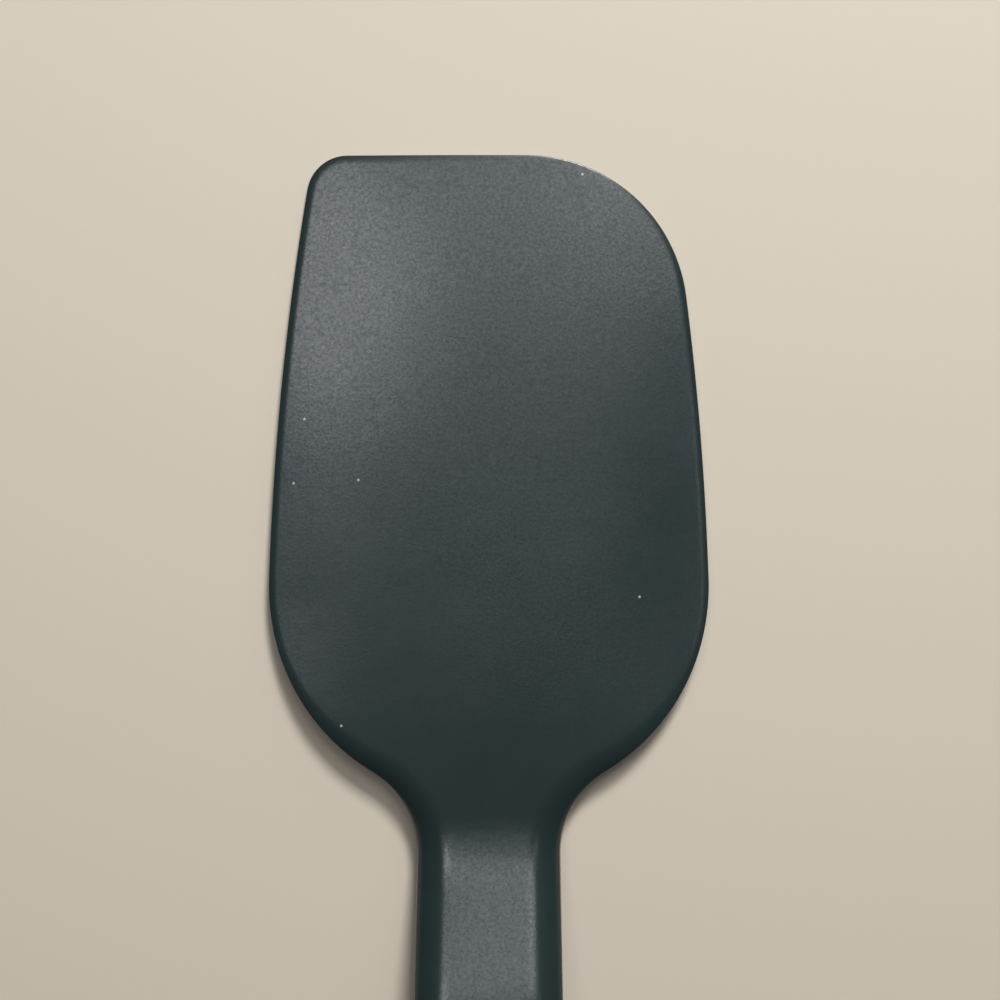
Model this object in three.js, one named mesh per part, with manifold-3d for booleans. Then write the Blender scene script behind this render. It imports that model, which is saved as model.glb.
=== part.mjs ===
// A kitchen scraper: blade, neck and handle skin are one silicone moulding around a stiff nylon core.
// Millimetres. It lies on its flat back at Z = 0, with the blade's tip towards +Y and the handle's butt towards -Y.
// The origin is midway along the length, on the centre line, at the bottom.

import * as THREE from 'three';
import { mergeVertices } from 'three/addons/utils/BufferGeometryUtils.js';
import Module from 'manifold-3d';

const { degToRad, lerp, smoothstep } = THREE.MathUtils;

// Plan of the silicone body
const TOTAL_LENGTH = 260;
const BLADE_WIDTH = 57.7;
const WIDEST_FROM_TIP = 56.5;
const SHOULDER_RADIUS = 28.6;
const NECK_WIDTH = 18.5;
const NECK_FILLET_RADIUS = 12.5;
const HANDLE_FLARE = degToRad(0.69);
const SIDE_TAPER = degToRad(1.94);
const BOW_FROM_TIP = 53.3;
const BOW_RADIUS = 381;
const SQUARE_CORNER_RADIUS = 5.3;
const ROUND_CORNER_RADIUS = 21.1;

// Thickness of the silicone body
const TIP_THICKNESS = 1.8;
const BELLY_THICKNESS = 3.4;
const NECK_THICKNESS = 5.8;
const HANDLE_THICKNESS = 13;
const BELLY_FROM_TIP = 55;
const BELLY_EASE = 15;
const RAMP_FROM_TIP = 90.5;
const RAMP_LENGTH = 21;
const RAMP_EASE = 4.5;
const BLADE_CROWN = 1;

// Edge of the silicone body: an easy roll off the face, then a tight one onto the upright wall.
// The blade's back has a narrower roll, and the handle's back the same as its face.
// The blade's narrow roll grows into the handle's wide one mostly in the hollow of the neck.
const BLADE_ROLL_WIDTH = 1.2;
const BLADE_ROLL_TURN = degToRad(20);
const BLADE_BACK_ROLL_WIDTH = 0.6;
const BLADE_BACK_ROLL_TURN = degToRad(25);
const BLADE_ARRIS_RADIUS = 0.25;
const HANDLE_ROLL_WIDTH = 4.25;
const HANDLE_ROLL_TURN = degToRad(50);
const HANDLE_ARRIS_RADIUS = 0.8;

// Hanging slot in the butt
const SLOT_WIDTH = 9;
const SLOT_LENGTH = 16;
const SLOT_FROM_BUTT = 7;
const SLOT_RIM_RADIUS = 1.2;

// Nylon core, as walls of silicone around it and sizes of its own
const LIP_LENGTH = 36;
const PADDLE_MARGIN = 11;
const PADDLE_CORNER_RADIUS = 7;
const PADDLE_THICKNESS = 0.8;
const SIDE_WALL = 3;
const FACE_WALL = 2;
const SPINE_RIM = 1.6;
const SPINE_WEB = 2.6;
const POCKET_COUNT = 4;
const POCKET_RIB = 3;
const POCKET_CORNER_RADIUS = 2;
const KEYHOLE_DIAMETER = 5;
const KEYHOLE_FROM_FRONT = 9;
const KEYHOLE_FROM_SIDE = 7;
const KEYHOLE_ROWS = 2;
const KEYHOLE_COLUMNS = 3;
const KEYHOLE_LAND = 1.2;
const MOULD_GAP = 0.3;

// How finely curves are divided
const BUTT_STEPS = 10;
const HANDLE_STEPS = 1;
const FILLET_STEPS = 8;
const SHOULDER_STEPS = 12;
const TAPER_STEPS = 3;
const BOW_STEPS = 4;
const CORNER_STEPS = 8;
const ROLL_STEPS = 3;
const ARRIS_STEPS = 2;
const FACE_COLUMNS = 6;
const RAMP_STEPS = 9;
const ROUND_STEPS = 2;
const RIM_STEPS = 4;

const TIP_Y = TOTAL_LENGTH / 2;
const BUTT_Y = -TOTAL_LENGTH / 2;
const WIDEST_Y = TIP_Y - WIDEST_FROM_TIP;
const SLOT_Y = BUTT_Y + SLOT_FROM_BUTT + SLOT_LENGTH / 2;
const RAMP_START_Y = TIP_Y - RAMP_FROM_TIP + RAMP_EASE;
const RAMP_END_Y = TIP_Y - RAMP_FROM_TIP - RAMP_LENGTH - RAMP_EASE;

const wasm = await Module();
wasm.setup();

const direction = (angle) => new THREE.Vector2(Math.cos(angle), Math.sin(angle));
const along = (centre, angle, radius) => direction(angle).multiplyScalar(radius).add(centre);
const bearing = (from, to) => to.clone().sub(from).angle();

/** Points of an arc from one angle to another, whichever way that turns. */
function arc(centre, radius, from, to, steps) {
  return Array.from({ length: steps + 1 }, (_, i) => along(centre, lerp(from, to, i / steps), radius));
}

function line(from, to, steps) {
  return new THREE.LineCurve(from, to).getPoints(steps);
}

/** Centres of the shoulder arc and of the hollow fillet that runs from it into the neck. */
function shoulderOf({ halfWidth, shoulderRadius, neckHalf, fillet }) {
  const shoulder = new THREE.Vector2(halfWidth - shoulderRadius, WIDEST_Y);
  const across = neckHalf + fillet - shoulder.x;
  const reach = shoulderRadius + fillet;
  const neck = new THREE.Vector2(neckHalf + fillet, WIDEST_Y - Math.sqrt(reach * reach - across * across));
  return { shoulder, neck };
}

/** Right-hand outline from the middle of the butt, up the flared handle and round the shoulder. */
function stem(plan) {
  const { shoulderRadius, fillet, butt } = plan;
  const { shoulder, neck } = shoulderOf(plan);
  const handleLine = neck.dot(direction(HANDLE_FLARE)) - fillet;
  const buttRadius = (handleLine - butt * Math.sin(HANDLE_FLARE)) / (1 + Math.sin(HANDLE_FLARE));
  const buttCentre = new THREE.Vector2(0, butt + buttRadius);
  const toShoulder = bearing(neck, shoulder);
  const buttArc = arc(buttCentre, buttRadius, -Math.PI / 2, HANDLE_FLARE, BUTT_STEPS);
  const neckArc = arc(neck, fillet, Math.PI + HANDLE_FLARE, toShoulder, FILLET_STEPS);
  const shoulderArc = arc(shoulder, shoulderRadius, toShoulder - Math.PI, SIDE_TAPER, SHOULDER_STEPS);
  const levelShare = (RAMP_END_Y - buttArc.at(-1).y) / (neckArc[0].y - buttArc.at(-1).y);
  const levelEnd = buttArc.at(-1).clone().lerp(neckArc[0], levelShare);
  return [
    ...buttArc,
    ...line(buttArc.at(-1), levelEnd, HANDLE_STEPS).slice(1),
    ...line(levelEnd, neckArc[0], RAMP_STEPS).slice(1),
    ...neckArc.slice(1),
    ...shoulderArc.slice(1),
  ];
}

const bodyPlan = {
  halfWidth: BLADE_WIDTH / 2,
  shoulderRadius: SHOULDER_RADIUS,
  neckHalf: NECK_WIDTH / 2,
  fillet: NECK_FILLET_RADIUS,
  butt: BUTT_Y,
};
const NECK_Y = shoulderOf(bodyPlan).neck.y;

/** Right-hand outline of the body up to the end of its corner: a straight taper, then a slow bow. */
function bodySide(corner) {
  const start = stem(bodyPlan);
  const taperRun = (TIP_Y - BOW_FROM_TIP - start.at(-1).y) / Math.cos(SIDE_TAPER);
  const bowStart = along(start.at(-1), SIDE_TAPER + Math.PI / 2, taperRun);
  const bow = along(bowStart, SIDE_TAPER, -BOW_RADIUS);
  const cornerY = TIP_Y - corner;
  const bowRun = Math.sqrt((BOW_RADIUS - corner) ** 2 - (cornerY - bow.y) ** 2);
  const cornerCentre = new THREE.Vector2(bow.x + bowRun, cornerY);
  const bowEnd = bearing(bow, cornerCentre);
  return [
    ...start,
    ...line(start.at(-1), bowStart, TAPER_STEPS).slice(1),
    ...arc(bow, BOW_RADIUS, SIDE_TAPER, bowEnd, BOW_STEPS).slice(1),
    ...arc(cornerCentre, corner, bowEnd, Math.PI / 2, CORNER_STEPS).slice(1),
  ];
}

/** Distance past a place, eased in over a length on both sides of it. */
function past(distance, place, ease) {
  const over = distance - place;
  return Math.abs(over) < ease ? (over + ease) ** 2 / (4 * ease) : Math.max(over, 0);
}

/** Height of the face on the centre line: a thin lip, a thicker belly, then a ramp to the handle's level facet. */
function crestHeight(y) {
  const fromTip = TIP_Y - y;
  const lipSlope = (BELLY_THICKNESS - TIP_THICKNESS) / BELLY_FROM_TIP;
  const bellySlope = (NECK_THICKNESS - BELLY_THICKNESS) / (RAMP_FROM_TIP - BELLY_FROM_TIP);
  const rampSlope = (HANDLE_THICKNESS - NECK_THICKNESS) / RAMP_LENGTH;
  const onBelly = past(fromTip, BELLY_FROM_TIP, BELLY_EASE);
  const onRamp = past(fromTip, RAMP_FROM_TIP, RAMP_EASE);
  const onHandle = past(fromTip, RAMP_FROM_TIP + RAMP_LENGTH, RAMP_EASE);
  const blade = TIP_THICKNESS + lipSlope * fromTip + (bellySlope - lipSlope) * onBelly;
  return blade + (rampSlope - bellySlope) * onRamp - rampSlope * onHandle;
}

/** Share of the way from the widest part of the blade (0) to the neck (1). */
function shoulderShare(y) {
  return smoothstep(-y, -WIDEST_Y, -NECK_Y);
}

/** Height of the face, which is crowned across the blade and level across the handle. */
function faceHeight({ x, y }) {
  const share = x / (BLADE_WIDTH / 2);
  return crestHeight(y) - BLADE_CROWN * (1 - shoulderShare(y)) * share * share;
}

/** Edge at a place along the length, from the upright wall inwards: how far in, and how far from the face or back. */
function edgeRoll(y, bladeWidth, bladeTurn) {
  const share = shoulderShare(y) ** 2;
  const width = lerp(bladeWidth, HANDLE_ROLL_WIDTH, share);
  const turn = lerp(bladeTurn, HANDLE_ROLL_TURN, share);
  const arris = lerp(BLADE_ARRIS_RADIUS, HANDLE_ARRIS_RADIUS, share);
  const roll = (width - arris * (1 - Math.sin(turn))) / Math.sin(turn);
  const edge = [];
  for (let i = 0; i < ARRIS_STEPS; i++) {
    const tilt = lerp(Math.PI / 2, turn, i / ARRIS_STEPS);
    const fall = roll * (1 - Math.cos(turn)) + arris * (Math.cos(turn) - Math.cos(tilt));
    edge.push({ inset: arris * (1 - Math.sin(tilt)), fall });
  }
  for (let i = 0; i <= ROLL_STEPS; i++) {
    const tilt = lerp(turn, 0, i / ROLL_STEPS);
    edge.push({ inset: width - roll * Math.sin(tilt), fall: roll * (1 - Math.cos(tilt)) });
  }
  return edge;
}

/** Rounded edge of one side, from the back up the wall to the face. */
function bodyEdge({ point, inward }) {
  const place = (inset) => point.clone().addScaledVector(inward, inset);
  const raise = (inset, height) => new THREE.Vector3(...place(inset), height);
  const overEdge = edgeRoll(point.y, BLADE_ROLL_WIDTH, BLADE_ROLL_TURN);
  const underEdge = edgeRoll(point.y, BLADE_BACK_ROLL_WIDTH, BLADE_BACK_ROLL_TURN);
  const under = underEdge.map(({ inset, fall }) => raise(inset, fall));
  const over = overEdge.map(({ inset, fall }) => raise(inset, faceHeight(place(inset)) - fall));
  return [...under.reverse(), ...over];
}

/** Closed section of the body between one point of its right side and the matching point of its left side. */
function bodySection(right, left) {
  const rightEdge = bodyEdge(right);
  const leftEdge = bodyEdge(left).reverse();
  const face = [];
  for (let i = 1; i < FACE_COLUMNS; i++) {
    const point = rightEdge.at(-1).clone().lerp(leftEdge[0], i / FACE_COLUMNS);
    face.push(point.setZ(faceHeight(point)));
  }
  return [...rightEdge, ...face, ...leftEdge];
}

/** Outline points of one side with their inward directions; side is 1 for the right and -1 for the left. */
function rails(points, side) {
  return points.map((point, i) => {
    const tangent = points[Math.min(i + 1, points.length - 1)].clone().sub(points[Math.max(i - 1, 0)]).normalize();
    if (i === 0) tangent.set(1, 0);
    if (i === points.length - 1) tangent.set(-1, 0);
    return {
      point: new THREE.Vector2(side * point.x, point.y),
      inward: new THREE.Vector2(-side * tangent.y, tangent.x),
    };
  });
}

/** Skin through closed sections that have the same number of points and shrink to a seam at both ends. */
function loft(sections) {
  const size = sections[0].length;
  const index = [];
  for (let i = 0; i + 1 < sections.length; i++) {
    for (let j = 0; j < size; j++) {
      const a = i * size + j;
      const b = i * size + ((j + 1) % size);
      index.push(a, a + size, b + size, a, b + size, b);
    }
  }
  const positions = sections.flat().flatMap((point) => point.toArray());
  return new THREE.BufferGeometry()
    .setAttribute('position', new THREE.Float32BufferAttribute(positions, 3))
    .setIndex(index);
}

/** Closed geometry as a solid that can be cut. */
function solid(geometry) {
  geometry.deleteAttribute('normal');
  geometry.deleteAttribute('uv');
  const merged = mergeVertices(geometry);
  const corners = merged.index.array;
  const triVerts = [];
  for (let i = 0; i < corners.length; i += 3) {
    const triangle = [corners[i], corners[i + 1], corners[i + 2]];
    if (new Set(triangle).size === 3) triVerts.push(...triangle);
  }
  return new wasm.Manifold(
    new wasm.Mesh({
      numProp: 3,
      vertProperties: merged.attributes.position.array,
      triVerts: new Uint32Array(triVerts),
    }),
  );
}

/** Upright solid of a plan shape between two heights. */
function upright(shape, bottom, top) {
  const settings = { depth: top - bottom, bevelEnabled: false, curveSegments: ROUND_STEPS };
  return solid(new THREE.ExtrudeGeometry(shape, settings).translate(0, 0, bottom));
}

/** Rectangle around a centre with rounded corners, which meet in round ends or a circle where it is narrow. */
function roundedRectangle(x, y, width, length, radius) {
  const corner = Math.min(radius, width / 2, length / 2);
  const across = width / 2 - corner;
  const up = length / 2 - corner;
  const turn = Math.PI / 2;
  return new THREE.Shape()
    .absarc(x + across, y - up, corner, -turn, 0)
    .absarc(x + across, y + up, corner, 0, turn)
    .absarc(x - across, y + up, corner, turn, 2 * turn)
    .absarc(x - across, y - up, corner, 2 * turn, 3 * turn);
}

/** Core's thickness range at a place along the length; grow is added all round. */
function coreHeights(y, grow) {
  const cover = faceHeight({ x: BLADE_WIDTH / 2 - PADDLE_MARGIN, y });
  const thickness = Math.max(PADDLE_THICKNESS, cover - 2 * FACE_WALL);
  return { bottom: (cover - thickness) / 2 - grow, top: (cover + thickness) / 2 + grow };
}

/** Outline of the core: the body's own stem drawn in, and a paddle that stops short of the tip. */
function coreOutline(grow) {
  const plan = {
    halfWidth: BLADE_WIDTH / 2 - PADDLE_MARGIN + grow,
    shoulderRadius: SHOULDER_RADIUS - PADDLE_MARGIN + grow,
    neckHalf: NECK_WIDTH / 2 - SIDE_WALL + grow,
    fillet: NECK_FILLET_RADIUS + SIDE_WALL - grow,
    butt: BUTT_Y + SIDE_WALL - grow,
  };
  const start = stem(plan);
  const corner = PADDLE_CORNER_RADIUS + grow;
  const cornerY = TIP_Y - LIP_LENGTH + grow - corner;
  const sideLine = start.at(-1).dot(direction(SIDE_TAPER));
  const cornerX = (sideLine - corner - cornerY * Math.sin(SIDE_TAPER)) / Math.cos(SIDE_TAPER);
  const cornerArc = arc(new THREE.Vector2(cornerX, cornerY), corner, SIDE_TAPER, Math.PI / 2, CORNER_STEPS);
  const right = [...start, ...cornerArc];
  const left = right.slice(1).map(({ x, y }) => new THREE.Vector2(-x, y));
  return new THREE.Shape([...right, ...left.reverse()]);
}

/** Side view of the core, drawn as Y across and Z up, and carried across the blade's whole width. */
function coreProfile(grow) {
  const stations = [BUTT_Y];
  for (let i = 0; i <= RAMP_STEPS; i++) stations.push(lerp(RAMP_END_Y, RAMP_START_Y, i / RAMP_STEPS));
  stations.push(TIP_Y);
  const under = stations.map((y) => new THREE.Vector2(y, coreHeights(y, grow).bottom));
  const over = stations.map((y) => new THREE.Vector2(y, coreHeights(y, grow).top));
  const shape = new THREE.Shape([...under, ...over.reverse()]);
  const geometry = new THREE.ExtrudeGeometry(shape, { depth: BLADE_WIDTH, bevelEnabled: false });
  const turn = new THREE.Matrix4().makeBasis(
    new THREE.Vector3(0, 1, 0),
    new THREE.Vector3(0, 0, 1),
    new THREE.Vector3(1, 0, 0),
  );
  return solid(geometry.applyMatrix4(turn).translate(-BLADE_WIDTH / 2, 0, 0));
}

/** Round holes in the paddle that the silicone grows through. */
function paddleKeyholes(grow) {
  const side = BLADE_WIDTH / 2 - PADDLE_MARGIN - KEYHOLE_FROM_SIDE;
  const front = TIP_Y - LIP_LENGTH - KEYHOLE_FROM_FRONT;
  const holes = [];
  for (let row = 0; row < KEYHOLE_ROWS; row++) {
    const y = lerp(front, WIDEST_Y, row / (KEYHOLE_ROWS - 1));
    for (let column = 0; column < KEYHOLE_COLUMNS; column++) {
      const x = lerp(-side, side, column / (KEYHOLE_COLUMNS - 1));
      const diameter = KEYHOLE_DIAMETER - 2 * grow;
      holes.push(roundedRectangle(x, y, diameter, diameter, diameter / 2));
    }
  }
  return holes;
}

/** Pockets in both faces of the spine, each with a key slot through the web between them. */
function spineCuts(grow) {
  const { bottom, top } = coreHeights(SLOT_Y, grow);
  const pocketTop = RAMP_END_Y - POCKET_RIB;
  const pocketEnd = SLOT_Y + SLOT_LENGTH / 2 + POCKET_RIB;
  const length = (pocketTop - pocketEnd + POCKET_RIB) / POCKET_COUNT - POCKET_RIB;
  const width = NECK_WIDTH - 2 * SIDE_WALL - 2 * SPINE_RIM;
  const webLow = (HANDLE_THICKNESS - SPINE_WEB) / 2 - grow;
  const webHigh = (HANDLE_THICKNESS + SPINE_WEB) / 2 + grow;
  const cuts = [];
  for (let i = 0; i < POCKET_COUNT; i++) {
    const y = pocketEnd + length / 2 + i * (length + POCKET_RIB);
    const pocket = roundedRectangle(0, y, width - 2 * grow, length - 2 * grow, POCKET_CORNER_RADIUS);
    const keyWidth = width - 2 * KEYHOLE_LAND - 2 * grow;
    const key = roundedRectangle(0, y, keyWidth, KEYHOLE_DIAMETER - 2 * grow, keyWidth / 2);
    cuts.push(upright(pocket, bottom - POCKET_RIB, webLow));
    cuts.push(upright(pocket, webHigh, top + POCKET_RIB));
    cuts.push(upright(key, bottom, top));
  }
  return cuts;
}

/** Hanging slot, with or without the rounded rim that it has in the silicone, which stands a little proud of both faces. */
function hangingSlot(rim) {
  const width = SLOT_WIDTH + 2 * rim;
  const shape = roundedRectangle(0, SLOT_Y, width, SLOT_LENGTH + 2 * rim, width / 2);
  const proud = rim / 8;
  const geometry = new THREE.ExtrudeGeometry(shape, {
    depth: HANDLE_THICKNESS - 2 * (rim - proud),
    bevelEnabled: rim > 0,
    bevelThickness: rim,
    bevelSize: -rim,
    bevelSegments: RIM_STEPS,
    curveSegments: RIM_STEPS,
  });
  return solid(geometry.translate(0, 0, rim - proud));
}

/** Core, or with grow the room that it takes in the silicone. */
function coreSolid(grow) {
  let core = upright(coreOutline(grow), 0, HANDLE_THICKNESS).intersect(coreProfile(grow));
  for (const hole of paddleKeyholes(grow)) core = core.subtract(upright(hole, 0, HANDLE_THICKNESS));
  for (const cut of spineCuts(grow)) core = core.subtract(cut);
  return core;
}

function bodySolid() {
  const right = bodySide(ROUND_CORNER_RADIUS);
  const left = bodySide(SQUARE_CORNER_RADIUS);
  const tipMiddle = (right.at(-1).x - left.at(-1).x) / 2;
  const rightRail = rails([...right, new THREE.Vector2(tipMiddle, TIP_Y)], 1);
  const leftRail = rails([...left, new THREE.Vector2(-tipMiddle, TIP_Y)], -1);
  return solid(loft(rightRail.map((station, i) => bodySection(station, leftRail[i]))));
}

function mesh(name, cut, material) {
  const { vertProperties, triVerts } = cut.getMesh();
  const geometry = new THREE.BufferGeometry()
    .setAttribute('position', new THREE.BufferAttribute(vertProperties, 3))
    .setIndex(new THREE.BufferAttribute(triVerts, 1));
  geometry.computeVertexNormals();
  const made = new THREE.Mesh(geometry, material);
  made.name = name;
  return made;
}

const silicone = new THREE.MeshStandardMaterial({ color: 0x2a3536, roughness: 0.35, metalness: 0 });
const nylon = new THREE.MeshStandardMaterial({ color: 0x1e2021, roughness: 0.6, metalness: 0 });

const body = bodySolid().subtract(coreSolid(MOULD_GAP)).subtract(hangingSlot(SLOT_RIM_RADIUS));
const core = coreSolid(0).subtract(hangingSlot(0));

const scraper = new THREE.Group();
scraper.name = 'kitchen_scraper';
scraper.add(mesh('silicone_body', body, silicone));
scraper.add(mesh('nylon_core', core, nylon));

export default scraper;
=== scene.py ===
"""Kitchen scraper: a silicone blade, neck and handle moulded over a nylon core.

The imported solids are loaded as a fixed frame. The silicone is rebuilt over them with its rolled edges, its
parting line and the rim of its hanging slot, the core gets its moulded finish, and the stage sets floor, lamps
and camera. Lengths are metres, +Y runs from the butt to the blade's tip, and the back lies on Z = 0.
"""

from math import atan2, cos, pi, radians, sin, sqrt, tan

import bmesh
import bpy
from bpy.props import FloatProperty, FloatVectorProperty, PointerProperty
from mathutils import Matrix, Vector


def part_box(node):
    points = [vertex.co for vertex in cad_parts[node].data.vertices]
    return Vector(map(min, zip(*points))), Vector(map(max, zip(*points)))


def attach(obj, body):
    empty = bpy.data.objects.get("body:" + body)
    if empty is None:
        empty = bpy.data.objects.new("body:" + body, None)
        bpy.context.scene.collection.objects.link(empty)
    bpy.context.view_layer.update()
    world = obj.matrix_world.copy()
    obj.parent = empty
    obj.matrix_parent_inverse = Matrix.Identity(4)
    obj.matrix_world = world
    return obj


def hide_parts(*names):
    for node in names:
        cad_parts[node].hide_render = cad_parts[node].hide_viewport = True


bl_info = {
    "name": "Kitchen Scraper",
    "version": (1, 0, 0),
    "blender": (4, 5, 0),
    "location": "View3D > Sidebar > Scraper",
    "description": "Builds a silicone kitchen scraper over its packed solids",
    "category": "Add Mesh",
}

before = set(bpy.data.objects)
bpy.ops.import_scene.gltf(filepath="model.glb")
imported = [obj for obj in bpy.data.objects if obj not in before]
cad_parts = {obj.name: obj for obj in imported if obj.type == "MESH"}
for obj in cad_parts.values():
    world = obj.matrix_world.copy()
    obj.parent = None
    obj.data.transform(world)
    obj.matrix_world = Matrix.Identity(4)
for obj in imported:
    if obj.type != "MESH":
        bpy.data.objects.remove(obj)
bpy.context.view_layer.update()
BODY_LOW, BODY_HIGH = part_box("silicone_body")

# Steps along the outline, from the middle of the butt to the end of the tip's corner, and across the blade.
BUTT_STEPS = 24
HANDLE_STEPS = 80
FILLET_STEPS = 30
SHOULDER_STEPS = 44
TAPER_STEPS = 2
BOW_STEPS = 28
CORNER_STEPS = 28
COLUMNS = 24
ROLL_STEPS = 8
ARRIS_STEPS = 5
RIM_STEPS = 6
SLOT_STEPS = 20
SLOT_SIDE_STEPS = 2

# Edges that turn by more than this stay sharp.
SHARP_ANGLE = radians(50)

# The floor lies a little below the back, so that the two don't share a plane.
FLOOR_HALF = 1.5
FLOOR_DROP = 0.0002

LAMP_DISTANCE = 0.8
LAMP_TARGET = Vector((0, 0.075, 0))
WORLD_COLOUR = (0.95, 0.97, 1.0, 1.0)
WORLD_STRENGTH = 0.02
SENSOR_WIDTH_MM = 36.0
NEAREST_SEEN = 0.01


def linear(colour):
    """Turns an sRGB hex colour into linear red, green, blue and alpha."""
    shares = [int(colour[i : i + 2], 16) / 255 for i in (1, 3, 5)]
    return tuple(c / 12.92 if c <= 0.04045 else ((c + 0.055) / 1.055) ** 2.4 for c in shares) + (1.0,)


def size(name, description, default):
    """A length that a user may change."""
    return FloatProperty(name=name, description=description, default=default, min=0.0, unit="LENGTH", precision=4)


def angle(name, description, degrees):
    """An angle that a user may change."""
    return FloatProperty(name=name, description=description, default=radians(degrees), subtype="ANGLE")


def colour(name, description, default):
    """A colour that a user may change."""
    return FloatVectorProperty(
        name=name, description=description, default=linear(default), size=4, min=0.0, max=1.0, subtype="COLOR"
    )


class ScraperSizes(bpy.types.PropertyGroup):
    """Sizes of the silicone body."""

    total_length: size("Length", "Overall length from butt to tip", BODY_HIGH.y - BODY_LOW.y)
    blade_width: size("Blade width", "Width of the blade at its widest", 0.0577)
    widest_from_tip: size("Widest from tip", "Distance from the tip to the widest part", 0.0565)
    shoulder_radius: size("Shoulder radius", "Radius of the shoulders below the widest part", 0.0286)
    neck_width: size("Neck width", "Width of the neck at its narrowest", 0.0185)
    neck_fillet: size("Neck fillet", "Radius of the hollow between shoulder and neck", 0.0125)
    handle_flare: angle("Handle flare", "Angle by which each side of the handle widens to the butt", 0.69)
    side_taper: angle("Side taper", "Angle by which each side of the blade narrows to the tip", 1.94)
    bow_from_tip: size("Bow from tip", "Distance from the tip at which the sides start to bow", 0.0533)
    bow_radius: size("Bow radius", "Radius of the bowed sides", 0.381)
    square_corner: size("Square corner", "Radius of the nearly square corner", 0.0053)
    round_corner: size("Round corner", "Radius of the wide round corner", 0.0211)
    tip_thickness: size("Tip thickness", "Thickness at the tip", 0.0018)
    belly_thickness: size("Belly thickness", "Thickness at the belly, where the blade is widest", 0.0034)
    neck_thickness: size("Neck thickness", "Thickness where the ramp to the handle starts", 0.0058)
    handle_thickness: size("Handle thickness", "Thickness of the handle", BODY_HIGH.z - BODY_LOW.z)
    belly_from_tip: size("Belly from tip", "Distance from the tip to the belly", 0.055)
    belly_ease: size("Belly easing", "Half the length over which the lip turns into the belly", 0.015)
    ramp_from_tip: size("Ramp from tip", "Distance from the tip to the start of the ramp", 0.0905)
    ramp_length: size("Ramp length", "Length of the ramp up the neck to the handle", 0.021)
    ramp_ease: size("Ramp easing", "Half the length over which each end of the ramp is rounded", 0.0045)
    blade_crown: size("Blade crown", "How much lower the blade's sides are than its middle", 0.001)
    facet_crown: size("Facet crown", "How much lower the facet's sides are than its middle", 0.0001)
    blade_roll: size("Blade roll", "Width of the rolled edge along the blade's face", 0.00115)
    blade_turn: angle("Blade turn", "Angle through which the edge of the blade's face rolls before its arris", 16.5)
    tip_turn: angle("Tip turn", "Angle through which the edge of the tip rolls before its arris", 6.5)
    back_roll: size("Back roll", "Width of the rolled edge along the blade's back", 0.0006)
    back_turn: angle("Back turn", "Angle through which the edge of the blade's back rolls before its arris", 25.0)
    blade_arris: size("Blade arris", "Radius of the arris along the blade", 0.00008)
    handle_roll: size("Handle roll", "Width of the rolled edge along the handle", 0.00425)
    handle_turn: angle("Handle turn", "Angle through which the handle's edge rolls before its arris", 50.0)
    handle_arris: size("Handle arris", "Radius of the arris along the handle", 0.0008)
    parting_ridge: size("Parting ridge", "How far the parting line of the mould stands out", 0.00012)
    slot_width: size("Slot width", "Width of the hanging slot", 0.009)
    slot_length: size("Slot length", "Length of the hanging slot", 0.016)
    slot_from_butt: size("Slot from butt", "Silicone and core between the slot and the butt", 0.007)
    slot_rim: size("Slot rim", "Radius of the slot's rounded rim", 0.0012)
    core_cover: size("Core cover", "Silicone over the core at the slot", 0.0017)
    core_groove: size("Core groove", "Depth to which the core's ring sits in the slot's wall", 0.0006)


class ScraperFinish(bpy.types.PropertyGroup):
    """Colours of the silicone and the nylon."""

    silicone: colour("Silicone", "Dark slate of the silicone", "#212d2e")
    bloom: colour("Bloom", "Pale haze that handling leaves on silicone", "#2c3839")
    stain: colour("Stain", "Faint brown that food leaves on silicone", "#2e2e29")
    dust: colour("Dust", "Specks of lint that cling to silicone", "#c4c8c2")
    roughness: FloatProperty(
        name="Roughness", description="Roughness of the moulded face", default=0.22, min=0.0, max=1.0, subtype="FACTOR"
    )
    nylon: colour("Nylon", "Near black of the core", "#1e2021")
    fibre: colour("Fibre", "Glass fibres at the surface of the core", "#3a3d3d")


class ScraperStage(bpy.types.PropertyGroup):
    """Floor, camera and lamps."""

    floor: colour("Floor", "Plain pale floor", "#c9bfaf")
    camera_x: FloatProperty(name="Camera X", description="Camera's place across", default=0.00146, unit="LENGTH")
    camera_y: FloatProperty(name="Camera Y", description="Camera's place along", default=0.0846, unit="LENGTH")
    camera_height: size("Camera height", "Height of the camera over the floor", 0.225)
    lens: FloatProperty(name="Lens", description="Focal length in millimetres", default=61.1, min=1.0)


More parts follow.
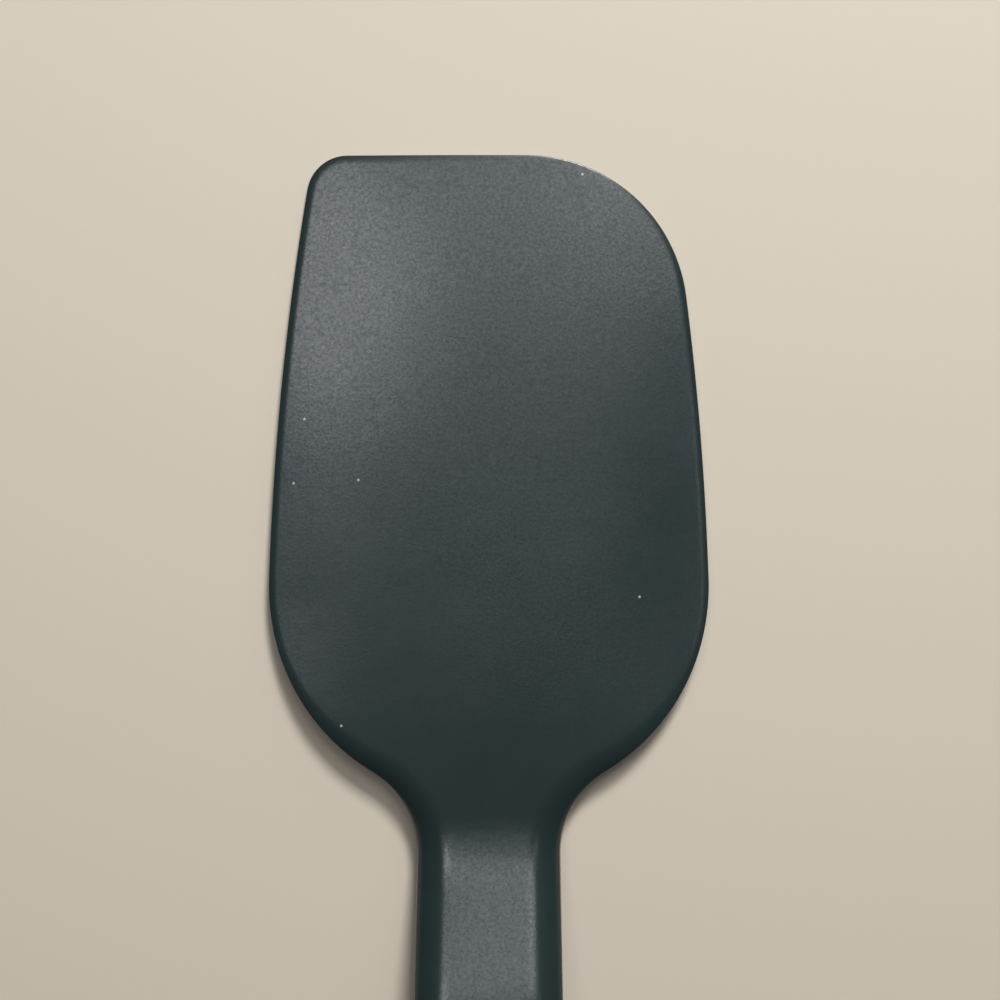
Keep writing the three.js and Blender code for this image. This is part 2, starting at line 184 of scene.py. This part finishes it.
def side_of(sizes, corner):
    """Arcs and straights of the right side, from the middle of the butt to the end of the tip's corner.

    An arc is its centre and its turn, a straight is its run; each ends with its number of steps.
    """
    tip, butt = sizes.total_length / 2, -sizes.total_length / 2
    flare, taper = sizes.handle_flare, sizes.side_taper
    across_handle = Vector((cos(flare), sin(flare), 0))
    across_blade = Vector((cos(taper), sin(taper), 0))
    shoulder = Vector((sizes.blade_width / 2 - sizes.shoulder_radius, tip - sizes.widest_from_tip, 0))
    reach = sizes.shoulder_radius + sizes.neck_fillet
    neck_x = sizes.neck_width / 2 + sizes.neck_fillet
    neck = Vector((neck_x, shoulder.y - sqrt(reach**2 - (neck_x - shoulder.x) ** 2), 0))
    to_shoulder = atan2(shoulder.y - neck.y, shoulder.x - neck.x)
    handle_line = neck.dot(across_handle) - sizes.neck_fillet
    butt_radius = (handle_line - butt * sin(flare)) / (1 + sin(flare))
    butt_centre = Vector((0, butt + butt_radius, 0))
    handle_run = neck - sizes.neck_fillet * across_handle - butt_centre - butt_radius * across_handle
    taper_start = shoulder + sizes.shoulder_radius * across_blade
    taper_run = Vector((-sin(taper), cos(taper), 0)) * (tip - sizes.bow_from_tip - taper_start.y) / cos(taper)
    bow = taper_start + taper_run - sizes.bow_radius * across_blade
    corner_y = tip - corner
    corner_x = bow.x + sqrt((sizes.bow_radius - corner) ** 2 - (corner_y - bow.y) ** 2)
    bow_end = atan2(corner_y - bow.y, corner_x - bow.x)
    corner_centre = Vector((corner_x, corner_y, 0))
    return [
        (butt_centre, pi / 2 + flare, BUTT_STEPS),
        (handle_run, HANDLE_STEPS),
        (neck, to_shoulder - pi - flare, FILLET_STEPS),
        (shoulder, taper - to_shoulder + pi, SHOULDER_STEPS),
        (taper_run, TAPER_STEPS),
        (bow, bow_end - taper, BOW_STEPS),
        (corner_centre, pi / 2 - bow_end, CORNER_STEPS),
    ]


def mirrored(segments):
    """The same side on the left, in the order in which it runs back down from tip to butt."""
    flip = []
    for segment in reversed(segments):
        place = segment[0].copy()
        if len(segment) == 3:
            place.x = -place.x
        else:
            place.y = -place.y
        flip.append((place,) + segment[1:])
    return flip


def draw(bm, start, segments):
    """Draws edges on from a vertex through arcs and straights, and returns the vertices in order."""
    chain = [start]
    for segment in segments:
        if len(segment) == 3:
            centre, turn, steps = segment
            run = Vector()
        else:
            (run, steps), centre, turn = segment, Vector(), 0.0
        for _ in range(steps):
            drawn = bmesh.ops.spin(
                bm, geom=chain[-1:], cent=centre, axis=(0, 0, 1), dvec=run / steps, angle=turn / steps, steps=1
            )["geom_last"]
            chain += [item for item in drawn if isinstance(item, bmesh.types.BMVert)]
    return chain


def draw_ring(bm, start, segments):
    """Draws a closed ring from a point, and returns its vertices in order."""
    chain = draw(bm, bmesh.ops.create_vert(bm, co=start)["vert"][0], segments)
    bmesh.ops.weld_verts(bm, targetmap={chain[-1]: chain[0]})
    return chain[:-1]


def ring_edges(bm, ring):
    """The edges of a closed ring of vertices."""
    return [bm.edges.get(pair) for pair in zip(ring, ring[1:] + ring[:1])]


def chain_edges(bm, chain):
    """The edges of an open chain of vertices."""
    return [bm.edges.get(pair) for pair in zip(chain, chain[1:])]


def extrude_ring(bm, ring, places):
    """Extrudes a closed ring once and puts its new vertices at the given places."""
    made = bmesh.ops.extrude_edge_only(bm, edges=ring_edges(bm, ring))["geom"]
    fresh = {item for item in made if isinstance(item, bmesh.types.BMVert)}
    onward = [next(e.other_vert(v) for e in v.link_edges if e.other_vert(v) in fresh) for v in ring]
    for vert, place in zip(onward, places):
        vert.co = place
    return onward


def inward_of(ring):
    """Unit vectors that point from each vertex of a counterclockwise ring to its inside."""
    inward = []
    for before, vert, after in zip(ring[-1:] + ring[:-1], ring, ring[1:] + ring[:1]):
        along = (vert.co - before.co).normalized() + (after.co - vert.co).normalized()
        inward.append(Vector((-along.y, along.x, 0)).normalized())
    return inward


class Face:
    """Heights of the scraper's face over its flat back."""

    def __init__(self, sizes):
        self.sizes = sizes
        self.tip = sizes.total_length / 2
        self.widest = self.tip - sizes.widest_from_tip
        reach = sizes.shoulder_radius + sizes.neck_fillet
        across = sizes.neck_width / 2 + sizes.neck_fillet - sizes.blade_width / 2 + sizes.shoulder_radius
        self.neck = self.widest - sqrt(reach**2 - across**2)

    def past(self, y, place, ease):
        """Distance past a place that is measured from the tip, eased in on both sides of it."""
        over = self.tip - y - place
        return (over + ease) ** 2 / (4 * ease) if abs(over) < ease else max(over, 0)

    def crest(self, y):
        """Height on the centre line: a thin lip, a thicker belly, then a ramp up to the handle's level facet."""
        s = self.sizes
        lip = (s.belly_thickness - s.tip_thickness) / s.belly_from_tip
        belly = (s.neck_thickness - s.belly_thickness) / (s.ramp_from_tip - s.belly_from_tip)
        ramp = (s.handle_thickness - s.neck_thickness) / s.ramp_length
        blade = s.tip_thickness + lip * (self.tip - y) + (belly - lip) * self.past(y, s.belly_from_tip, s.belly_ease)
        on_ramp = self.past(y, s.ramp_from_tip, s.ramp_ease)
        on_handle = self.past(y, s.ramp_from_tip + s.ramp_length, s.ramp_ease)
        return blade + (ramp - belly) * on_ramp - ramp * on_handle

    def to_neck(self, y):
        """Share of the way from the blade's widest part to the neck, eased at both ends."""
        share = min(max((self.widest - y) / (self.widest - self.neck), 0), 1)
        return share * share * (3 - 2 * share)

    def edge(self, place, into, upward):
        """Edge of face or back, from the upright wall inwards: how far in, and how far below the face or over the back.

        The blade's narrow roll grows into the handle's wide one mostly in the hollow of the neck.
        """
        s, share = self.sizes, self.to_neck(place.y) ** 2
        face_turn = s.blade_turn + (s.tip_turn - s.blade_turn) * max(-into.y, 0)
        blade_width, blade_turn = (s.blade_roll, face_turn) if upward else (s.back_roll, s.back_turn)
        width = blade_width + (s.handle_roll - blade_width) * share
        turn = blade_turn + (s.handle_turn - blade_turn) * share
        arris = s.blade_arris + (s.handle_arris - s.blade_arris) * share
        roll = (width - arris * (1 - sin(turn))) / sin(turn)
        section = []
        for i in range(ARRIS_STEPS):
            tilt = pi / 2 + (turn - pi / 2) * i / ARRIS_STEPS
            section.append((arris * (1 - sin(tilt)), roll * (1 - cos(turn)) + arris * (cos(turn) - cos(tilt))))
        for i in range(ROLL_STEPS + 1):
            tilt = turn * (1 - i / ROLL_STEPS)
            section.append((width - roll * sin(tilt), roll * (1 - cos(tilt))))
        return section

    def height(self, place):
        """Height of the crowned face."""
        s = self.sizes
        neck = self.to_neck(place.y)
        over_blade, over_facet = place.x / (s.blade_width / 2), place.x / (s.neck_width / 2)
        blade = s.blade_crown * (1 - neck) * over_blade**2
        facet = s.facet_crown * neck * min(over_facet**2, 1)
        return self.crest(place.y) - blade - facet


def roll_edge(bm, face, ring, inward, upward):
    """Raises the wall from the parting line and rolls its edge onto the face, or the same way down onto the back."""
    edges = [face.edge(vert.co, into, upward) for vert, into in zip(ring, inward)]
    line = ring
    for step in range(ARRIS_STEPS + ROLL_STEPS + 1):
        places = []
        for vert, into, edge in zip(ring, inward, edges):
            inset, fall = edge[step]
            place = vert.co + into * inset
            place.z = face.height(place) - fall if upward else fall
            places.append(place)
        line = extrude_ring(bm, line, places)
    return line


def raise_parting(face, ring, inward):
    """Lifts the parting line to the middle of the wall and draws it out into a fine ridge."""
    for vert, into in zip(ring, inward):
        over, under = face.edge(vert.co, into, True), face.edge(vert.co, into, False)
        vert.co.z = (face.height(vert.co) - over[0][1] + under[0][1]) / 2
        vert.co -= into * face.sizes.parting_ridge


def slot_wall(bm, sizes):
    """Rounded rims of the hanging slot and the groove for the core's ring; returns its rings on face and back."""
    half = sizes.slot_width / 2
    middle = -sizes.total_length / 2 + sizes.slot_from_butt + sizes.slot_length / 2
    up = Vector((0, sizes.slot_length / 2 - half, 0))
    centre = Vector((0, middle, 0))
    rim, top, cover = sizes.slot_rim, sizes.handle_thickness, sizes.core_cover
    start = centre - up + Vector((half + rim, 0, top))
    upper, lower = (centre + up, pi, SLOT_STEPS), (centre - up, pi, SLOT_STEPS)
    ring = draw_ring(bm, start, [(2 * up, SLOT_SIDE_STEPS), upper, (-2 * up, SLOT_SIDE_STEPS), lower])
    inward = inward_of(ring)
    flat = [vert.co.copy() for vert in ring]
    tilts = [pi / 2 * i / RIM_STEPS for i in range(1, RIM_STEPS + 1)]
    arc = [(rim * sin(tilt), rim * (1 - cos(tilt))) for tilt in tilts]
    section = [(inset, top - fall) for inset, fall in arc]
    section += [(rim, top - cover), (rim - sizes.core_groove, top - cover)]
    section += [(rim - sizes.core_groove, cover), (rim, cover)]
    section += [(inset, fall) for inset, fall in reversed(arc)] + [(0, 0)]
    line = ring
    for inset, height in section:
        places = [Vector((p.x + into.x * inset, p.y + into.y * inset, height)) for p, into in zip(flat, inward)]
        line = extrude_ring(bm, line, places)
    return ring, line


def fill_face(bm, face, line, slot_ring):
    """Fills the face inside its rolled edge: a crowned grid over blade and handle, and the butt round the slot."""
    last_side = BUTT_STEPS + HANDLE_STEPS + FILLET_STEPS + SHOULDER_STEPS + TAPER_STEPS + BOW_STEPS + CORNER_STEPS
    past_slot = max(vert.co.y for vert in slot_ring) + face.sizes.slot_rim
    rung = next(i for i in range(BUTT_STEPS, last_side) if line[i].co.y > past_slot)
    tip_chain = line[last_side : last_side + COLUMNS + 1]
    rung_line = draw(bm, line[rung], [(line[-rung].co - line[rung].co, COLUMNS)])
    bmesh.ops.weld_verts(bm, targetmap={rung_line[-1]: line[-rung]})
    cuts = rung_line[1:-1]
    rung_chain = chain_edges(bm, [line[rung]] + cuts + [line[-rung]])
    known = set(bm.verts)
    bmesh.ops.grid_fill(bm, edges=rung_chain + chain_edges(bm, tip_chain))
    for vert in cuts + [v for v in bm.verts if v not in known]:
        vert.co.z = face.height(vert.co)
    butt = chain_edges(bm, line[-rung:] + line[: rung + 1])
    bmesh.ops.triangle_fill(
        bm, edges=butt + rung_chain + ring_edges(bm, slot_ring), use_beauty=True, normal=(0, 0, 1)
    )


def add_node(tree, kind, inputs=None, **settings):
    """Adds a node, sets its settings, and links or sets its inputs."""
    node = tree.nodes.new(kind)
    for name, value in settings.items():
        setattr(node, name, value)
    for name, value in (inputs or {}).items():
        if isinstance(value, bpy.types.NodeSocket):
            tree.links.new(value, node.inputs[name])
        else:
            node.inputs[name].default_value = value
    return node


def start_material(name):
    """An empty material and its Object coordinates."""
    material = bpy.data.materials.new(name)
    material.use_nodes = True
    material.node_tree.nodes.clear()
    return material.node_tree, material, add_node(material.node_tree, "ShaderNodeTexCoord").outputs["Object"]


def moulded_silicone(finish):
    """Silicone rubber from a fine-blasted mould: a soft broad sheen, a tight grain, and lint that clings to it."""
    tree, material, place = start_material("moulded_silicone")
    # The blasted mould leaves a grain of under half a millimetre, whose hollows shine less than its peaks.
    grain = add_node(
        tree, "ShaderNodeTexNoise", {"Vector": place, "Scale": 1 / 0.0004, "Detail": 2.0, "Roughness": 0.5}
    ).outputs["Fac"]
    shine = add_node(
        tree, "ShaderNodeMapRange", {"Value": grain, "From Min": 0.25, "From Max": 0.75, "To Min": 0.33, "To Max": 0.67}
    ).outputs["Result"]
    # The thick rubber shrinks unevenly as it cures, in soft waves about 9 mm apart.
    wave = add_node(tree, "ShaderNodeTexNoise", {"Vector": place, "Scale": 1 / 0.009, "Detail": 1.0}).outputs["Fac"]
    # Handling leaves a pale bloom in patches of about 14 mm, and food a faint brown in patches of about 22 mm.
    patch = add_node(
        tree, "ShaderNodeTexNoise", {"Vector": place, "Scale": 1 / 0.014, "Detail": 4.0, "Roughness": 0.6}
    ).outputs["Fac"]
    bloom = add_node(
        tree, "ShaderNodeMapRange", {"Value": patch, "From Min": 0.35, "From Max": 0.75, "To Max": 0.25}
    ).outputs["Result"]
    aside = add_node(tree, "ShaderNodeMapping", {"Vector": place, "Location": (0.31, 0.17, 0.0)}).outputs["Vector"]
    spill = add_node(tree, "ShaderNodeTexNoise", {"Vector": aside, "Scale": 1 / 0.022, "Detail": 3.0}).outputs["Fac"]
    stain = add_node(
        tree, "ShaderNodeMapRange", {"Value": spill, "From Min": 0.5, "From Max": 0.75, "To Max": 0.15}
    ).outputs["Result"]
    hazed = add_node(
        tree,
        "ShaderNodeMix",
        {0: bloom, 6: tuple(finish.silicone), 7: tuple(finish.bloom)},
        data_type="RGBA",
    ).outputs[2]
    stained = add_node(
        tree, "ShaderNodeMix", {0: stain, 6: hazed, 7: tuple(finish.stain)}, data_type="RGBA"
    ).outputs[2]
    # Specks of lint, a third of a millimetre across, in about one cell of 8 mm in forty.
    cells = add_node(tree, "ShaderNodeTexVoronoi", {"Vector": place, "Scale": 1 / 0.008}, voronoi_dimensions="2D")
    speck = add_node(
        tree,
        "ShaderNodeMapRange",
        {"Value": cells.outputs["Distance"], "From Min": 0.01, "From Max": 0.026, "To Min": 0.7, "To Max": 0.0},
    ).outputs["Result"]
    chosen = add_node(
        tree, "ShaderNodeMath", {0: cells.outputs["Color"], 1: 0.82}, operation="GREATER_THAN"
    ).outputs["Value"]
    dust = add_node(tree, "ShaderNodeMath", {0: speck, 1: chosen}, operation="MULTIPLY").outputs["Value"]
    surface = add_node(
        tree, "ShaderNodeMix", {0: dust, 6: stained, 7: tuple(finish.dust)}, data_type="RGBA"
    ).outputs[2]
    rough = add_node(
        tree,
        "ShaderNodeMapRange",
        {
            "Value": patch,
            "From Min": 0.3,
            "From Max": 0.7,
            "To Min": finish.roughness - 0.01,
            "To Max": finish.roughness + 0.015,
        },
    ).outputs["Result"]
    # The grain's peaks are burnished, so they are a little smoother than its hollows.
    burnished = add_node(
        tree,
        "ShaderNodeMapRange",
        {"Value": grain, "From Min": 0.25, "From Max": 0.75, "To Min": 0.01, "To Max": -0.01},
    ).outputs["Result"]
    roughness = add_node(tree, "ShaderNodeMath", {0: rough, 1: burnished}, operation="ADD").outputs["Value"]
    waved = add_node(tree, "ShaderNodeBump", {"Height": wave, "Distance": 0.00003}).outputs["Normal"]
    grained = add_node(
        tree, "ShaderNodeBump", {"Height": grain, "Distance": 0.000006, "Normal": waved}
    ).outputs["Normal"]
    shader = add_node(
        tree,
        "ShaderNodeBsdfPrincipled",
        {"Base Color": surface, "Roughness": roughness, "IOR": 1.41, "Specular IOR Level": shine, "Normal": grained},
    ).outputs["BSDF"]
    add_node(tree, "ShaderNodeOutputMaterial", {"Surface": shader})
    return material


def moulded_nylon(finish):
    """Glass-filled nylon from a plain mould: near black, with a faint grey fleck of fibres that dulls its gloss."""
    tree, material, place = start_material("moulded_glass_filled_nylon")
    # Fibres near the surface show as flecks of about 0.4 mm.
    fleck = add_node(
        tree, "ShaderNodeTexNoise", {"Vector": place, "Scale": 1 / 0.0004, "Detail": 3.0, "Roughness": 0.7}
    ).outputs["Fac"]
    share = add_node(
        tree, "ShaderNodeMapRange", {"Value": fleck, "From Min": 0.5, "From Max": 0.75, "To Max": 0.6}
    ).outputs["Result"]
    surface = add_node(
        tree, "ShaderNodeMix", {0: share, 6: tuple(finish.nylon), 7: tuple(finish.fibre)}, data_type="RGBA"
    ).outputs[2]
    rough = add_node(
        tree, "ShaderNodeMapRange", {"Value": fleck, "To Min": 0.45, "To Max": 0.6}
    ).outputs["Result"]
    dulled = add_node(tree, "ShaderNodeBump", {"Height": fleck, "Distance": 0.00001}).outputs["Normal"]
    shader = add_node(
        tree,
        "ShaderNodeBsdfPrincipled",
        {"Base Color": surface, "Roughness": rough, "IOR": 1.53, "Normal": dulled},
    ).outputs["BSDF"]
    add_node(tree, "ShaderNodeOutputMaterial", {"Surface": shader})
    return material


class SCRAPER_OT_silicone(bpy.types.Operator):
    """Moulds the silicone blade, neck and handle over the core"""

    bl_idname = "scraper.silicone"
    bl_label = "Add Silicone"

    def execute(self, context):
        sizes, finish = context.scene.scraper_sizes, context.scene.scraper_finish
        face = Face(sizes)
        right, left = side_of(sizes, sizes.round_corner), side_of(sizes, sizes.square_corner)
        tip_run = Vector((-right[-1][0].x - left[-1][0].x, 0, 0))
        bm = bmesh.new()
        outline = right + [(tip_run, COLUMNS)] + mirrored(left)
        ring = draw_ring(bm, (0, -sizes.total_length / 2, 0), outline)
        inward = inward_of(ring)
        face_line = roll_edge(bm, face, ring, inward, upward=True)
        back_line = roll_edge(bm, face, ring, inward, upward=False)
        raise_parting(face, ring, inward)
        slot_face, slot_back = slot_wall(bm, sizes)
        fill_face(bm, face, face_line, slot_face)
        back = ring_edges(bm, back_line) + ring_edges(bm, slot_back)
        bmesh.ops.triangle_fill(bm, edges=back, use_beauty=True, normal=(0, 0, -1))
        bmesh.ops.recalc_face_normals(bm, faces=bm.faces)
        open_edges = [e for e in bm.edges if not e.is_manifold]
        if open_edges:
            raise RuntimeError(f"the silicone is open at {len(open_edges)} edges")
        mesh = bpy.data.meshes.new("silicone_skin")
        bm.to_mesh(mesh)
        bm.free()
        mesh.shade_smooth()
        mesh.set_sharp_from_angle(angle=SHARP_ANGLE)
        mesh.materials.append(moulded_silicone(finish))
        skin = bpy.data.objects.new("silicone_skin", mesh)
        context.scene.collection.objects.link(skin)
        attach(skin, "root")
        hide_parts("silicone_body")
        return {"FINISHED"}


class SCRAPER_OT_core(bpy.types.Operator):
    """Gives the nylon core, which shows inside the hanging slot, its moulded finish"""

    bl_idname = "scraper.core"
    bl_label = "Finish Core"

    def execute(self, context):
        finish = context.scene.scraper_finish
        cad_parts["nylon_core"].material_slots[0].material = moulded_nylon(finish)
        return {"FINISHED"}


class SCRAPER_OT_stage(bpy.types.Operator):
    """Sets a pale floor, soft studio lamps and a camera straight above the blade"""

    bl_idname = "scraper.stage"
    bl_label = "Set Stage"

    def execute(self, context):
        scene, stage = context.scene, context.scene.scraper_stage
        scene.view_settings.view_transform = "Standard"
        bm = bmesh.new()
        bmesh.ops.create_grid(bm, x_segments=1, y_segments=1, size=FLOOR_HALF)
        bmesh.ops.translate(bm, verts=bm.verts, vec=(0, 0, -FLOOR_DROP))
        mesh = bpy.data.meshes.new("floor")
        bm.to_mesh(mesh)
        bm.free()
        tree, material, place = start_material("painted_board")
        # A matte painted board, with a roller's stipple of about 2 mm too faint to show from above.
        stipple = add_node(tree, "ShaderNodeTexNoise", {"Vector": place, "Scale": 1 / 0.002}).outputs["Fac"]
        bumped = add_node(tree, "ShaderNodeBump", {"Height": stipple, "Distance": 0.00002}).outputs["Normal"]
        shader = add_node(
            tree,
            "ShaderNodeBsdfPrincipled",
            {"Base Color": tuple(stage.floor), "Roughness": 0.7, "Normal": bumped},
        ).outputs["BSDF"]
        add_node(tree, "ShaderNodeOutputMaterial", {"Surface": shader})
        mesh.materials.append(material)
        floor = bpy.data.objects.new("floor", mesh)
        scene.collection.objects.link(floor)

        world = bpy.data.worlds.new("studio")
        scene.world = world
        world.use_nodes = True
        background = world.node_tree.nodes["Background"]
        background.inputs["Color"].default_value = WORLD_COLOUR
        background.inputs["Strength"].default_value = WORLD_STRENGTH
        # Each lamp: name, angles from upright to the right and to the tip, size in metres, power in watts.
        lamps = [
            ("key_lamp", 15.0, 43.0, 0.18, 6.0),
            ("side_lamp", 50.0, 50.0, 0.4, 0.4),
            ("top_left_lamp", -13.0, 14.0, 0.16, 0.66),
            ("top_lamp", 4.0, 23.0, 0.26, 0.58),
            ("top_right_lamp", 16.0, 21.0, 0.18, 0.42),
            ("middle_lamp", 2.0, 12.5, 0.25, 0.28),
            ("left_lamp", -20.0, 7.0, 0.15, 0.08),
            ("right_lamp", 25.0, 7.0, 0.15, 0.12),
        ]
        for name, right, forward, width, power in lamps:
            place = Vector((tan(radians(right)), tan(radians(forward)), 1)).normalized() * LAMP_DISTANCE
            light = bpy.data.lights.new(name, "AREA")
            light.shape = "SQUARE"
            light.size = width
            light.energy = power
            lamp = bpy.data.objects.new(name, light)
            lamp.location = LAMP_TARGET + place
            lamp.rotation_euler = (-place).to_track_quat("-Z", "Y").to_euler()
            scene.collection.objects.link(lamp)

        lens = bpy.data.cameras.new("camera")
        lens.lens = stage.lens
        lens.sensor_width = SENSOR_WIDTH_MM
        lens.clip_start = NEAREST_SEEN
        camera = bpy.data.objects.new("camera", lens)
        camera.location = (stage.camera_x, stage.camera_y, stage.camera_height)
        scene.collection.objects.link(camera)
        scene.camera = camera
        return {"FINISHED"}


class SCRAPER_PT_panel(bpy.types.Panel):
    """Sizes, colours and pieces of the scraper"""

    bl_idname = "SCRAPER_PT_panel"
    bl_label = "Kitchen Scraper"
    bl_space_type = "VIEW_3D"
    bl_region_type = "UI"
    bl_category = "Scraper"

    def draw(self, context):
        groups = (context.scene.scraper_sizes, context.scene.scraper_finish, context.scene.scraper_stage)
        for group in groups:
            column = self.layout.column(align=True)
            for name in group.__annotations__:
                column.prop(group, name)
        for operator in (SCRAPER_OT_silicone, SCRAPER_OT_core, SCRAPER_OT_stage):
            self.layout.operator(operator.bl_idname)


CLASSES = (
    ScraperSizes,
    ScraperFinish,
    ScraperStage,
    SCRAPER_OT_silicone,
    SCRAPER_OT_core,
    SCRAPER_OT_stage,
    SCRAPER_PT_panel,
)


def register():
    for cls in CLASSES:
        bpy.utils.register_class(cls)
    bpy.types.Scene.scraper_sizes = PointerProperty(type=ScraperSizes)
    bpy.types.Scene.scraper_finish = PointerProperty(type=ScraperFinish)
    bpy.types.Scene.scraper_stage = PointerProperty(type=ScraperStage)


def unregister():
    del bpy.types.Scene.scraper_stage
    del bpy.types.Scene.scraper_finish
    del bpy.types.Scene.scraper_sizes
    for cls in reversed(CLASSES):
        bpy.utils.unregister_class(cls)


def main():
    """Builds the scraper and its stage."""
    register()
    bpy.ops.scraper.silicone()
    bpy.ops.scraper.core()
    bpy.ops.scraper.stage()


if __name__ == "__main__":
    main()
